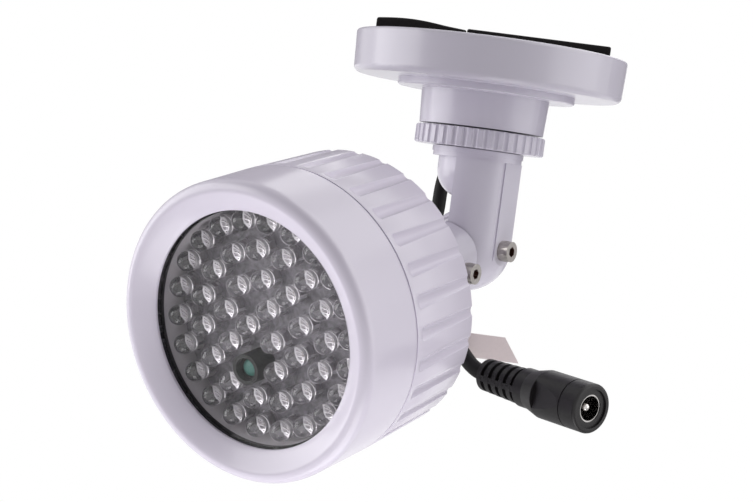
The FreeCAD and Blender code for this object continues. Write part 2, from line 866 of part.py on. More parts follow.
# Front bezel with its dished ring
BOARD_BACK = "seam_face + spigot_length"
BOARD_FRONT = f"{BOARD_BACK} + board_thickness"
WINDOW_FRONT = "lip_face - lip_thickness"
WINDOW_BACK = f"{WINDOW_FRONT} - window_thickness"
GASKET_BACK = f"{WINDOW_BACK} - gasket_thickness"
BEZEL_BACK = "seam_face + seam_gap"
CREST = "shell_radius - bezel_crest_width"
WINDOW_RADIUS = "shell_radius - window_seat_wall"
LIP_RADIUS = f"{WINDOW_RADIUS} - lip_cover"
SPACER_BORE = f"{WINDOW_RADIUS} - spacer_wall"
bezel = turned("FrontBezel", [
    ("shell_radius", BEZEL_BACK),
    ("shell_radius", "bezel_front"),
    (CREST, "bezel_front"),
    (LIP_RADIUS, "lip_face"),
    (LIP_RADIUS, WINDOW_FRONT),
    (f"{WINDOW_RADIUS} + window_play", WINDOW_FRONT),
    (f"{WINDOW_RADIUS} + window_play", f"{BOARD_FRONT} + window_play"),
    (BEZEL_BORE, f"{BOARD_FRONT} + window_play"),
    (BEZEL_BORE, BEZEL_BACK),
])
rounded(bezel, "bezel_round", ("shell_radius", "bezel_front"))
rounded(bezel, "crest_round", (CREST, "bezel_front"))
keep(on_head(bezel), "front_bezel")


def flat_ring(label, inner, outer, back, front):
    """Make a plain ring of the head between two radii and two heights."""
    outline = [(inner, back), (outer, back), (outer, front), (inner, front)]
    return keep(on_head(turned(label.title().replace("_", ""), outline)), label)


flat_ring("seam_gasket", SPIGOT, "shell_radius - seam_depth", "seam_face", BEZEL_BACK)
flat_ring("spacer_ring", SPACER_BORE, WINDOW_RADIUS, BOARD_FRONT, GASKET_BACK)
flat_ring("window_gasket", f"{WINDOW_RADIUS} - gasket_width", WINDOW_RADIUS, GASKET_BACK, WINDOW_BACK)
flat_ring("window", "0", WINDOW_RADIUS, WINDOW_BACK, WINDOW_FRONT)
flat_ring("emitter_board", "0", f"{SPIGOT} - board_inset", BOARD_BACK, BOARD_FRONT)


# Emitters: each a clear round body with a foot and a domed tip

def emitter(name, across, up):
    """Return one emitter standing on the board at the given place."""
    dome = f"{BOARD_FRONT} + emitter_height - emitter_radius"
    return joined(
        name,
        cylinder(name + "Foot", "emitter_foot_radius", "emitter_foot_height", (across, up, BOARD_FRONT)),
        cylinder(
            name + "Barrel", "emitter_radius", "emitter_height - emitter_radius", (across, up, BOARD_FRONT),
        ),
        ball(name + "Dome", "emitter_radius", (across, up, dome)),
    )


def emitter_ring(label, places):
    """Make the emitters of one ring."""
    title = label.title().replace("_", "")
    copies(label, *[
        emitter(f"{title}N{index}", across, up)
        for index, (across, up) in enumerate(places)
    ])


OUTER_RING = f"({SPACER_BORE} - emitter_foot_radius - emitter_rim_gap)"
RING_SPREAD = f"({OUTER_RING} - inner_ring_radius)"
SECOND_RING = f"inner_ring_radius + second_ring_share * {RING_SPREAD}"
THIRD_RING = f"inner_ring_radius + third_ring_share * {RING_SPREAD}"
second_places = around(SECOND_RING, "second_turn", "second_count")
del second_places[int(SIZES["sensor_step_count"])]
emitter_ring("emitters_inner", around("inner_ring_radius", "inner_turn", "inner_count"))
emitter_ring("emitters_second", second_places)
emitter_ring("emitters_third", around(THIRD_RING, "third_turn", "third_count"))
emitter_ring("emitters_outer", around(OUTER_RING, "outer_turn", "outer_count"))

# Daylight sensor in its dark sleeve, in the free place of the second ring
sensor_places = around(f"{THIRD_RING} - sensor_gap", "second_turn", "second_count")
SENSOR = (*sensor_places[int(SIZES["sensor_step_count"])], BOARD_FRONT)
sleeve = cut(
    "SensorSleeve",
    cylinder("SensorSleeveRound", "sensor_sleeve_radius", "sensor_sleeve_height", SENSOR),
    cylinder("SensorSleeveBore", "sensor_sleeve_bore", "sensor_sleeve_height", SENSOR),
)
keep(on_head(sleeve), "sensor_sleeve")
SENSOR_DOME = (SENSOR[0], SENSOR[1], f"{BOARD_FRONT} + sensor_height - sensor_radius")
sensor = joined(
    "LightSensor",
    cylinder("SensorBarrel", "sensor_radius", "sensor_height - sensor_radius", SENSOR),
    ball("SensorDome", "sensor_radius", SENSOR_DOME),
)
keep(on_head(sensor), "light_sensor")

# Driver board on the housing's posts, with what stands on it
DRIVER_BACK = f"{INNER_WALL} + driver_post_height"
DRIVER_FRONT = f"{DRIVER_BACK} + board_thickness"
driver = cut(
    "DriverBoard",
    cylinder("DriverBoardDisc", DRIVER_RADIUS, "board_thickness", ("0", "0", DRIVER_BACK)),
    *[
        cylinder(f"DriverHole{index}", "driver_screw_radius", "board_thickness", (across, up, DRIVER_BACK))
        for index, (across, up) in enumerate(posts)
    ],
)
keep(on_head(driver), "driver_board")
copies("driver_screws", *[
    joined(
        f"DriverScrew{index}",
        cylinder(
            f"DriverScrewHead{index}", "driver_screw_head", "board_thickness", (across, up, DRIVER_FRONT),
        ),
        cylinder(
            f"DriverScrewShank{index}", "driver_screw_radius", "driver_screw_length + board_thickness",
            (across, up, f"{DRIVER_BACK} - driver_screw_length"),
        ),
    )
    for index, (across, up) in enumerate(posts)
])
copies(
    "driver_parts",
    cylinder(
        "DriverCoil", "coil_radius", "coil_height",
        ("coil_radius + coil_inset", "coil_radius", DRIVER_FRONT),
    ),
    cylinder(
        "DriverCapacitor", "capacitor_radius", "capacitor_height",
        ("-capacitor_radius - parts_inset", "parts_inset", DRIVER_FRONT),
    ),
    block(
        "DriverChip",
        ("-chip_length / 2", "-chip_width - parts_inset", DRIVER_FRONT),
        ("chip_length / 2", "-parts_inset", f"{DRIVER_FRONT} + chip_height"),
    ),
)
copies("board_header", block(
    "BoardHeader",
    ("-header_length / 2", "-header_width / 2", DRIVER_FRONT),
    ("header_length / 2", "header_width / 2", BOARD_BACK),
))


# Cable grommet in the back wall

GROMMET_FLANGE = "rear_face - grommet_flange_height"
GROMMET_TIP = f"{GROMMET_FLANGE} - grommet_boot_length"
grommet = turned("CableGrommet", [
    ("0", GROMMET_TIP),
    ("grommet_tip_radius", GROMMET_TIP),
    ("grommet_boot_radius", GROMMET_FLANGE),
    ("grommet_flange_radius", GROMMET_FLANGE),
    ("grommet_flange_radius", "rear_face"),
    ("grommet_body_radius", "rear_face"),
    ("grommet_body_radius", INNER_WALL),
    ("0", INNER_WALL),
])
on_head(grommet)
grommet.setExpression("Placement.Base.x", sized("grommet_side"))
grommet.setExpression("Placement.Base.y", sized("-grommet_up * sin(rest_pitch)"))
grommet.setExpression("Placement.Base.z", sized("grommet_up * cos(rest_pitch) - hinge_drop"))
keep(grommet, "cable_grommet")


# Cable: a plain tube along straight runs joined by tangent arcs

def cable_path(points):
    """Return the wire through the route with its corners rounded, its length and the radii."""
    edges = []
    radii = []
    start = points[0]
    for before, corner, after in zip(points, points[1:], points[2:]):
        back = (before - corner).normalize()
        ahead = (after - corner).normalize()
        half_turn = (math.pi - back.getAngle(ahead)) / 2
        reach = ROUND_SHARE * min((before - corner).Length, (after - corner).Length)
        radius = reach / math.tan(half_turn)
        inward = (back + ahead).normalize()
        middle = corner + inward * (radius / math.cos(half_turn) - radius)
        arc_start = corner + back * reach
        arc_end = corner + ahead * reach
        edges.append(Part.LineSegment(start, arc_start).toShape())
        edges.append(Part.Arc(arc_start, middle, arc_end).toShape())
        radii.append(radius)
        start = arc_end
    edges.append(Part.LineSegment(start, points[-1]).toShape())
    wire = Part.Wire(edges)
    return wire, wire.Length, radii


route = [Vector(*point) for point in CABLE_ROUTE]
path, path_length, path_radii = cable_path(route)
section = Part.Wire(Part.Circle(route[0], route[1] - route[0], size("cable_radius")).toShape())
tube = document.addObject("Part::Feature", "Cable")
tube.Shape = path.makePipeShell([section], True, False)
keep(tube, "cable")


# Power jack and its strain relief, along their own Z axis

def on_jack(item):
    """Put an object that is drawn along the jack's axis in its place at the end of the cable."""
    end = CABLE_ROUTE[-1]
    item.Placement = Placement(Vector(*end), Rotation(Vector(0, 1, 0), 90))
    item.setExpression("Placement.Rotation.Angle", sized("jack_tilt"))
    item.setExpression("Placement.Rotation.Axis.x", sized("-sin(jack_turn)"))
    item.setExpression("Placement.Rotation.Axis.y", sized("cos(jack_turn)"))
    return item


def relief_outline():
    """Return the strain relief's outline: a cone with grooves between its ribs."""
    outline = [("0", "0"), ("relief_tip_radius", "0"), ("relief_tip_radius", "relief_tip_length")]
    pitch = "(relief_length - relief_tip_length - relief_neck_length) / groove_count"
    for index in range(int(SIZES["groove_count"])):
        low = f"relief_tip_length + {pitch} * {index}"
        radius = f"relief_radius + relief_swell * {index}"
        outline.append((radius, low))
        outline.append((radius, f"{low} + {pitch} - relief_groove_width"))
        outline.append((f"{radius} - relief_groove_depth", f"{low} + {pitch} - relief_groove_width"))
        outline.append((f"{radius} - relief_groove_depth", f"{low} + {pitch}"))
    outline.append(("jack_shoulder_radius", "relief_length - relief_neck_length"))
    outline.append(("jack_shoulder_radius", "relief_length"))
    outline.append(("0", "relief_length"))
    return outline


keep(on_jack(turned("StrainRelief", relief_outline())), "strain_relief")
JACK_FRONT = "relief_length + jack_length"
BARREL_FRONT = f"{JACK_FRONT} - jack_rim_depth"
SOCKET_FLOOR = f"{JACK_FRONT} - socket_bore_depth"
JACK_SEAM = f"{JACK_FRONT} - jack_seam_setback"
jack_round = turned("JackRound", [
    ("0", "relief_length"),
    ("jack_shoulder_radius", "relief_length"),
    ("jack_radius", "relief_length + jack_flare_length"),
    ("jack_radius", JACK_SEAM),
    ("jack_radius - jack_seam_depth", JACK_SEAM),
    ("jack_radius - jack_seam_depth", f"{JACK_SEAM} + jack_seam_width"),
    ("jack_radius", f"{JACK_SEAM} + jack_seam_width"),
    ("jack_radius", JACK_FRONT),
    ("jack_rim_bore", JACK_FRONT),
    ("jack_rim_bore", BARREL_FRONT),
    ("socket_bore", BARREL_FRONT),
    ("socket_bore", SOCKET_FLOOR),
    ("0", SOCKET_FLOOR),
])
rounded(jack_round, "jack_edge_round", ("jack_radius", JACK_FRONT))


def jack_flat(name, side):
    """Return the block that cuts one of the two grip flats, which run out towards the front."""
    width = "2 * jack_radius"
    slope = math.degrees(math.atan2(size("jack_flat_depth"), size("jack_flat_length")))
    tool = bind(document.addObject("Part::Box", name), Length="jack_radius", Width=width, Height=width)
    lean = Rotation(Vector(0, 1, 0), slope)
    aside = Rotation(Vector(0, 0, 1), side + size("jack_turn"))
    back_end = size(f"{JACK_FRONT} - jack_flat_setback")
    corner = Vector(size("jack_radius - jack_flat_depth"), -size("jack_radius"), back_end)
    tool.Placement = Placement(aside.multVec(corner), aside.multiply(lean))
    return tool


jack = cut("JackBody", jack_round, jack_flat("NearFlat", 90), jack_flat("FarFlat", -90))
keep(on_jack(jack), "jack_body")
jack_sleeve = turned("JackSleeve", [
    ("socket_bore - sleeve_wall", SOCKET_FLOOR),
    ("socket_bore", SOCKET_FLOOR),
    ("socket_bore", f"{BARREL_FRONT} - sleeve_setback"),
    ("socket_bore - sleeve_wall", f"{BARREL_FRONT} - sleeve_setback"),
])
keep(on_jack(jack_sleeve), "jack_sleeve")
jack_pin = turned("JackPin", [
    ("0", SOCKET_FLOOR),
    ("pin_radius", SOCKET_FLOOR),
    ("pin_radius", f"{JACK_FRONT} - pin_setback"),
    ("0", f"{JACK_FRONT} - pin_setback"),
])
keep(on_jack(jack_pin), "jack_pin")

# Bare paper label with a slanted end, hung on the cable by a hole
flag = document.addObject("Part::Wedge", "LabelFlag")
bind(
    flag,
    Xmin="0", Xmax="label_length", X2min="0", X2max="label_top_length",
    Ymin="-label_drop", Ymax="label_width - label_drop",
    Zmin="-label_thickness / 2", Zmax="label_thickness / 2",
    Z2min="-label_thickness / 2", Z2max="label_thickness / 2",
)
label = cut(
    "Label",
    joined(
        "LabelSheet",
        flag,
        cylinder(
            "LabelEnd", "cable_radius + label_hole_play + label_end_width", "label_thickness",
            ("0", "0", "-label_thickness / 2"),
        ),
    ),
    cylinder(
        "LabelHole", "cable_radius + label_hole_play", "2 * label_thickness", ("0", "0", "-label_thickness"),
    ),
)
label_at = route[-4] + (route[-3] - route[-4]) * LABEL_SHARE
upright = Rotation(Vector(1, 0, 0), 90)
label.Placement = Placement(label_at, Rotation(Vector(0, 0, 1), size("label_turn")).multiply(upright))
keep(label, "label_flag")


# Checks and files

document.recompute()
for item in document.Objects:
    if {"Invalid", "Error"} & set(item.State):
        raise RuntimeError(f"{item.Label} could not be built: {item.State}")
for label, item in parts.items():
    if item.Shape.isNull() or not item.Shape.isValid() or not item.Shape.Solids:
        raise RuntimeError(f"{label} has no valid solid")

expected = math.pi * size("cable_radius") ** 2 * path_length
print("cable length", round(path_length, 1))
print("cable volume", round(tube.Shape.Volume, 1), "expected", round(expected, 1))
print("cable radii", [round(radius, 1) for radius in path_radii])

os.makedirs("parts", exist_ok=True)
for label, item in parts.items():
    item.Shape.exportStep(f"parts/{label}.step")
print(len(parts), "sub-parts written")
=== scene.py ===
import json
import math

import bpy
from mathutils import Matrix, Vector


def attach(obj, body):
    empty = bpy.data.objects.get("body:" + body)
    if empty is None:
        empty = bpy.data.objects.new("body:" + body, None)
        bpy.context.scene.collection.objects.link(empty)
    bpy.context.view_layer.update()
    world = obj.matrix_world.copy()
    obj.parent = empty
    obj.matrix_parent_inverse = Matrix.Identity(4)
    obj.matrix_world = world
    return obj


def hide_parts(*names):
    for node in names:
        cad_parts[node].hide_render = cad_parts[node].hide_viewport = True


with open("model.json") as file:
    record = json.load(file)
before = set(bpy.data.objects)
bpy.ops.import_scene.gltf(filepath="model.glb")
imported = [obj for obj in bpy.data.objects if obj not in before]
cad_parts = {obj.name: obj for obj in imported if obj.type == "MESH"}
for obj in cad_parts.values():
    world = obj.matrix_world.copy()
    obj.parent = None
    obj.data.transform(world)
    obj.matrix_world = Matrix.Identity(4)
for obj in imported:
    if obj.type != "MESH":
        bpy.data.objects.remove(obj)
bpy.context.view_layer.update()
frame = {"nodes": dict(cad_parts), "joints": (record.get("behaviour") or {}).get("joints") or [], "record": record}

NODES = frame["nodes"]
MM = 0.001

# The head's own frame: Z forward along the lamp axis, X along the hinge, Y up
JOINTS = {joint["name"]: joint for joint in frame["joints"]}
HINGE = Vector(JOINTS["tilt"]["pos_m"])
REST_PITCH = math.radians(14.9)
HEAD = Matrix.Translation(HINGE) @ Matrix.Rotation(math.radians(90) + REST_PITCH, 4, "X")


# Camera at the photograph's place

# Fitted to the photograph, with a right-hand direction that is then squared to the forward one
PHOTO_WIDTH_PIXELS = 753
FOCUS_PIXELS = 1900
FILM_WIDTH = 36
CAMERA_FROM_HINGE = Vector((0.2682, -0.4426, 0.0152))
ROUGHLY_RIGHT = Vector((0.8206, 0.5565, 0.1302))
CAMERA_FORWARD = Vector((-0.5567, 0.8298, -0.0385)).normalized()
CAMERA_UP = ROUGHLY_RIGHT.cross(CAMERA_FORWARD).normalized()
CAMERA_RIGHT = CAMERA_FORWARD.cross(CAMERA_UP)
camera_data = bpy.data.cameras.new("camera")
camera_data.sensor_width = FILM_WIDTH
camera_data.lens = FILM_WIDTH * (FOCUS_PIXELS / PHOTO_WIDTH_PIXELS)
camera_data.clip_start = 0.01
camera = bpy.data.objects.new("camera", camera_data)
bpy.context.scene.collection.objects.link(camera)
camera.matrix_world = Matrix.Translation(HINGE + CAMERA_FROM_HINGE) @ Matrix((
    CAMERA_RIGHT, CAMERA_UP, -CAMERA_FORWARD,
)).transposed().to_4x4()
bpy.context.scene.camera = camera


# Steps for making materials

# The Mix node's sockets for colour, which share their names with those for numbers and vectors
MIX_FIRST_COLOUR = 6
MIX_SECOND_COLOUR = 7
MIX_COLOUR_RESULT = 2


def linear(code):
    """Return the linear colour of an sRGB hex code."""
    parts = [int(code[start:start + 2], 16) / 255 for start in (0, 2, 4)]
    return [part / 12.92 if part <= 0.04045 else ((part + 0.055) / 1.055) ** 2.4 for part in parts] + [1.0]


def add_node(tree, kind, sockets=None, **settings):
    """Add a shader node with its settings, and set or link its sockets."""
    made = tree.nodes.new("ShaderNode" + kind)
    for name, value in settings.items():
        setattr(made, name, value)
    for name, value in (sockets or {}).items():
        if isinstance(value, bpy.types.NodeSocket):
            tree.links.new(value, made.inputs[name])
        else:
            made.inputs[name].default_value = value
    return made


def new_material(name, sockets):
    """Return a material with its tree and its shader, whose own sockets are set."""
    material = bpy.data.materials.new(name)
    material.use_nodes = True
    tree = material.node_tree
    shader = tree.nodes["Principled BSDF"]
    for socket, value in sockets.items():
        shader.inputs[socket].default_value = value
    return material, tree, shader


def grain(tree, place, size, strength, depth, detail=3.0):
    """Return the normal of a fine random surface whose lumps are the given size in millimetres."""
    noise = add_node(tree, "TexNoise", {"Vector": place, "Scale": 1000 / size, "Detail": detail})
    bump = add_node(tree, "Bump", {
        "Strength": strength, "Distance": depth * MM, "Height": noise.outputs["Fac"],
    })
    return bump.outputs["Normal"]


def mottled(tree, place, size, low, high):
    """Return a colour that drifts between two hex codes in lumps of the given size in millimetres."""
    noise = add_node(tree, "TexNoise", {"Vector": place, "Scale": 1000 / size, "Detail": 2.0})
    mix = add_node(tree, "Mix", {"Factor": noise.outputs["Fac"]}, data_type="RGBA")
    mix.inputs[MIX_FIRST_COLOUR].default_value = linear(low)
    mix.inputs[MIX_SECOND_COLOUR].default_value = linear(high)
    return mix.outputs[MIX_COLOUR_RESULT]


def surface(name, colour, relief, sockets):
    """Return a material with the colour that mottled makes, the relief that grain makes and its sockets."""
    material, tree, shader = new_material(name, sockets)
    place = add_node(tree, "TexCoord").outputs["Object"]
    tree.links.new(mottled(tree, place, *colour), shader.inputs["Base Color"])
    tree.links.new(grain(tree, place, *relief), shader.inputs["Normal"])
    return material


def gloss_white(name, low, high):
    """Return a faint lilac white with a hard, clean shine."""
    return surface(name, (14, low, high), (1.6, 0.12, 0.02), {
        "Roughness": 0.26, "IOR": 1.5, "Coat Weight": 0.2, "Coat Roughness": 0.15,
    })


def thin_sheet(material, code, share):
    """Let a share of the light that falls on the back of a material show on its front."""
    tree = material.node_tree
    through = add_node(tree, "BsdfTranslucent", {"Color": linear(code)})
    mix = add_node(tree, "MixShader", {"Fac": share})
    tree.links.new(tree.nodes["Principled BSDF"].outputs[0], mix.inputs[1])
    tree.links.new(through.outputs[0], mix.inputs[2])
    tree.links.new(mix.outputs[0], tree.nodes["Material Output"].inputs["Surface"])


def clear_material(name, ior, tint, wave):
    """Return a clear solid with a wavy face, which lets lamp light through to what lies under it."""
    material, tree, shader = new_material(name, {
        "Base Color": linear(tint), "Transmission Weight": 1.0, "IOR": ior, "Roughness": 0.0,
    })
    place = add_node(tree, "TexCoord").outputs["Object"]
    tree.links.new(grain(tree, place, 1.3, wave, 0.05), shader.inputs["Normal"])
    shadow = add_node(tree, "LightPath").outputs["Is Shadow Ray"]
    mix = add_node(tree, "MixShader", {"Fac": shadow})
    tree.links.new(shader.outputs[0], mix.inputs[1])
    tree.links.new(add_node(tree, "BsdfTransparent").outputs[0], mix.inputs[2])
    tree.links.new(mix.outputs[0], tree.nodes["Material Output"].inputs["Surface"])
    return material


def stage_paint(name, code, roughness):
    """Return a flat paint for what stands round the object."""
    return new_material(name, {"Base Color": linear(code), "Roughness": roughness})[0]


# Materials

# Glossy moulded ABS of the lamp's shells, and a deeper copy of it on the bracket and arm: partly the stove enamel
# of their castings, partly painted shade that darkens them beyond what the lamps give
abs_gloss = gloss_white("moulded_abs_gloss", "E3DCEB", "E7E0EF")
enamel_with_painted_shade = gloss_white("stove_enamel_with_painted_shade", "D4CFDC", "D8D3E0")

# Plain ABS as moulded, on the plate that the pads cover: grey with a soft sheen
abs_plain = surface("moulded_abs_plain", (9, "B9B6BC", "C4C1C8"), (0.6, 0.2, 0.02), {"Roughness": 0.5})

# Closed-cell foam: near black and dull, with small open cells on its cut faces
foam = surface("closed_cell_foam", (0.9, "0A0809", "1A1718"), (0.7, 0.7, 0.25, 5.0), {
    "Roughness": 0.9, "Specular IOR Level": 0.25,
})

# Nickel plate on steel: warm grey, with a fine uneven shine
nickel = surface("nickel_plated_steel", (0.8, "8F8A87", "BEB9B5"), (0.25, 0.25, 0.01), {
    "Metallic": 1.0, "Roughness": 0.28,
})

# Polished nickel of the jack's contacts: bright, with clear reflections
bright_nickel = surface("polished_nickel", (0.8, "B4B1AF", "D6D3D1"), (0.3, 0.15, 0.01), {
    "Metallic": 1.0, "Roughness": 0.15,
})

# Painted shade in the screws' sockets: dark brown steel, much darker than the heads
dark_steel_painted_shade = surface("dark_steel_painted_shade", (0.6, "4A2E26", "6E5248"), (0.3, 0.3, 0.02), {
    "Metallic": 0.8, "Roughness": 0.4,
})

# Moulded rubber of the seals and the grommet: black with a soft dull shine
rubber = surface("moulded_rubber", (3, "070607", "0E0D0E"), (0.5, 0.3, 0.02), {"Roughness": 0.55})

# Soft PVC of the jack's overmoulding: satin black with a broad soft shine
pvc = surface("soft_pvc_satin", (4, "0F0D0F", "171416"), (0.8, 0.35, 0.03), {
    "Roughness": 0.42, "Specular IOR Level": 0.35,
})

# Matt PVC of the cable's sheath: nearly black, with little shine
sheath = surface("cable_pvc_matt", (4, "0B090B", "121012"), (0.8, 0.3, 0.03), {
    "Roughness": 0.6, "Specular IOR Level": 0.18,
})

# Matt solder mask over copper: dark to mid grey, its patches coarser than real ones so that they show
solder_mask = surface("solder_mask_matt", (1.2, "201C24", "98939C"), (1.0, 0.5, 0.08), {"Roughness": 0.42})

# Dark moulded nylon of the sensor's sleeve and the small parts: near black and dull
nylon = surface("moulded_nylon_dark", (3, "0D0C0E", "161517"), (0.6, 0.25, 0.02), {"Roughness": 0.6})

# Grey moulded nylon of the spacer ring round the board: mid grey and dull
grey_nylon = surface("moulded_nylon_grey", (3, "A39EA4", "AFAAB0"), (0.6, 0.25, 0.02), {"Roughness": 0.6})

# Uncoated label paper: warm light grey with a faint fibre, and light that comes through it
paper = surface("label_paper", (0.8, "E8DFDF", "F2EAEA"), (0.3, 0.3, 0.01), {"Roughness": 0.75})
thin_sheet(paper, "F2EAEA", 0.35)

# Clear polycarbonate sheet of the window, its IOR low to match how faintly it mirrors
polycarbonate = clear_material("clear_polycarbonate", 1.45, "FFFFFF", 0.02)

# Clear epoxy that the emitters are cast in, with a gently wavy face
epoxy = clear_material("cast_clear_epoxy", 1.53, "FDFAFE", 0.8)

# Blue-green filter glass of the daylight sensor, matt on its face
filter_glass = surface("blue_green_filter_glass", (1.0, "2F5F5A", "42776E"), (0.4, 0.3, 0.02), {
    "Roughness": 0.3,
})

# Silver plate of the cup inside each emitter: bright and slightly rough
silver = surface("silver_plated_cup", (0.4, "DAD5DC", "FFFFFF"), (0.5, 0.5, 0.05), {
    "Metallic": 0.5, "Roughness": 0.18,
})

# Tarnished plate of the emitters' legs: patches of mid to pale grey with a dull shine
tarnished = surface("tarnished_silver_plate", (0.7, "6A666C", "DCD8DE"), (0.6, 0.7, 0.08), {
    "Metallic": 0.35, "Roughness": 0.3,
})

# Gallium arsenide of the dies: olive brown with a waxy shine
gallium = surface("gallium_arsenide_die", (0.3, "3E3830", "7D745A"), (0.2, 0.2, 0.01), {"Roughness": 0.35})

FINISHES = {
    "white_gloss": abs_gloss,
    "post_metal": enamel_with_painted_shade,
    "plate": abs_plain,
    "foam": foam,
    "steel": nickel,
    "seal": rubber,
    "window": polycarbonate,
    "spacer": grey_nylon,
    "board": solder_mask,
    "emitter": epoxy,
    "sensor": filter_glass,
    "component": nylon,
    "cable": pvc,
    "contact": bright_nickel,
    "paper": paper,
}
# Nodes whose finish isn't that of the rest of their slot; the bracket's parts take the deeper white, which is
# partly painted shade
OWN_FINISHES = {
    "sensor_sleeve": nylon,
    "base_disc": enamel_with_painted_shade,
    "lock_ring": enamel_with_painted_shade,
    "arm_body": enamel_with_painted_shade,
    "knuckle_body": enamel_with_painted_shade,
    "knuckle_cap": enamel_with_painted_shade,
}
for entry in frame["record"]["subparts"]:
    node = NODES[entry["node"]]
    node.data.materials.clear()
    node.data.materials.append(OWN_FINISHES.get(entry["node"], FINISHES[entry["material_slot"]]))


# Modelling steps

ROUND_STEPS = 160
# The axis is drawn at this radius in millimetres, because a circle of none can't be scaled up
ON_AXIS = 0.0001
# Vertices closer than this, in metres, become one
MERGE_DISTANCE = 0.000002


def deselect_all():
    """Leave nothing selected."""
    if bpy.context.object and bpy.context.object.mode != "OBJECT":
        bpy.ops.object.mode_set(mode="OBJECT")
    bpy.ops.object.select_all(action="DESELECT")


def only(piece):
    """Select one piece alone and make it active."""
    deselect_all()
    piece.select_set(True)
    bpy.context.view_layer.objects.active = piece


def turned(name, outline, closed=False, steps=ROUND_STEPS):
    """Extrude and scale a circle through (radius, height) pairs in millimetres, then close it."""
    deselect_all()
    radius, height = max(outline[0][0], ON_AXIS), outline[0][1]
    bpy.ops.mesh.primitive_circle_add(vertices=steps, radius=radius * MM, location=(0, 0, height * MM))
    piece = bpy.context.object
    piece.name = name
    bpy.ops.object.transform_apply(location=True, rotation=True, scale=True)
    bpy.ops.object.mode_set(mode="EDIT")
    bpy.ops.mesh.select_all(action="SELECT")
    rest = outline[1:] + outline[:1] if closed else outline[1:]
    for next_radius, next_height in rest:
        climb = (next_height - height) * MM
        share = max(next_radius, ON_AXIS) / radius
        bpy.ops.mesh.extrude_region_move(TRANSFORM_OT_translate={"value": (0, 0, climb)})
        bpy.ops.transform.resize(value=(share, share, 1), center_override=(0, 0, next_height * MM))
        radius, height = max(next_radius, ON_AXIS), next_height
    bpy.ops.mesh.select_all(action="SELECT")
    bpy.ops.mesh.remove_doubles(threshold=MERGE_DISTANCE)
    bpy.ops.mesh.normals_make_consistent(inside=False)
    bpy.ops.object.mode_set(mode="OBJECT")
    return piece


def arc(center, radius, start, end, count):
    """Return points on an arc about a (radius, height) centre, between two angles in degrees."""
    angles = [math.radians(start + (end - start) * step / count) for step in range(count + 1)]
    across, up = center
    return [(across + radius * math.cos(angle), up + radius * math.sin(angle)) for angle in angles]


def box_piece(name, size, spot):
    """Add a box with its size and its middle in millimetres."""
    deselect_all()
    bpy.ops.mesh.primitive_cube_add(size=1, location=[number * MM for number in spot])
    piece = bpy.context.object
    piece.name = name
    piece.scale = [number * MM for number in size]
    bpy.ops.object.transform_apply(location=True, rotation=True, scale=True)
    return piece


def modify(piece, kind, **settings):
    """Add a modifier to the piece and apply it."""
    only(piece)
    modifier = piece.modifiers.new(kind.lower(), kind)
    for name, value in settings.items():
        setattr(modifier, name, value)
    bpy.ops.object.modifier_apply(modifier=modifier.name)


def soften(piece, width, angle, steps=2):
    """Bevel to a width in millimetres the edges that turn by more than an angle in degrees."""
    modify(
        piece, "BEVEL", width=width * MM, segments=steps,
        limit_method="ANGLE", angle_limit=math.radians(angle),
    )


def finish_piece(piece, material, slot, body, *nodes, smooth=32, frame_matrix=HEAD):
    """Put a piece in its place, with its shading, its finish, its body and the nodes it stands for."""
    only(piece)
    piece.matrix_world = frame_matrix @ piece.matrix_world
    bpy.ops.object.transform_apply(location=True, rotation=True, scale=True)
    bpy.ops.object.shade_smooth_by_angle(angle=math.radians(smooth))
    piece.data.materials.clear()
    piece.data.materials.append(material)
    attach(piece, body)
    if nodes:
        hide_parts(*nodes)
    return piece


def joined(name, pieces):
    """Join pieces into one with the given name."""
    deselect_all()
    for piece in pieces:
        piece.select_set(True)
    bpy.context.view_layer.objects.active = pieces[0]
    bpy.ops.object.join()
    pieces[0].name = name
    return pieces[0]


def copied(piece, matrix):
    """Return a copy of the piece with its own mesh, moved by a matrix."""
    copy = piece.copy()
    copy.data = piece.data.copy()
    bpy.context.scene.collection.objects.link(copy)
    copy.matrix_world = matrix @ piece.matrix_world
    return copy


# Front bezel: side wall, round shoulder, crest, and a slightly full dish down to the lip

SHELL = 36.5
BEZEL_BACK = 78.6
BEZEL_BORE = 34.0
SEAT_BACK = 83.4
SEAT_BORE = 31.3
LIP_BACK = 93.6
LIP_RADIUS = 28.8
CREST_HEIGHT = 97.75
SHOULDER_ROUND = 2.45
# Loops that keep the side wall's shading straight between its ends
WALL_LOOPS = [(SHELL, 79.4), (SHELL, 87.0), (SHELL, 94.6)]
DISH_SLOPE = [(33.2, 97.5), (32.4, 97.05), (31.2, 96.25), (30.0, 95.4), (29.0, 94.65), (LIP_RADIUS, 94.35)]
bezel = turned(
    "bezel_shell",
    [(SHELL, BEZEL_BACK)] + WALL_LOOPS
    + arc((SHELL - SHOULDER_ROUND, CREST_HEIGHT - SHOULDER_ROUND), SHOULDER_ROUND, 0, 100, 12)
    + DISH_SLOPE
    + [(LIP_RADIUS, LIP_BACK), (SEAT_BORE, LIP_BACK), (SEAT_BORE, SEAT_BACK)]
    + [(BEZEL_BORE, SEAT_BACK), (BEZEL_BORE, BEZEL_BACK)],
    closed=True,
)
soften(bezel, 0.12, 40)
finish_piece(bezel, abs_gloss, "white_gloss", "head", "front_bezel")


# Rear housing: a cup with thirty flutes that run out at the rear edge

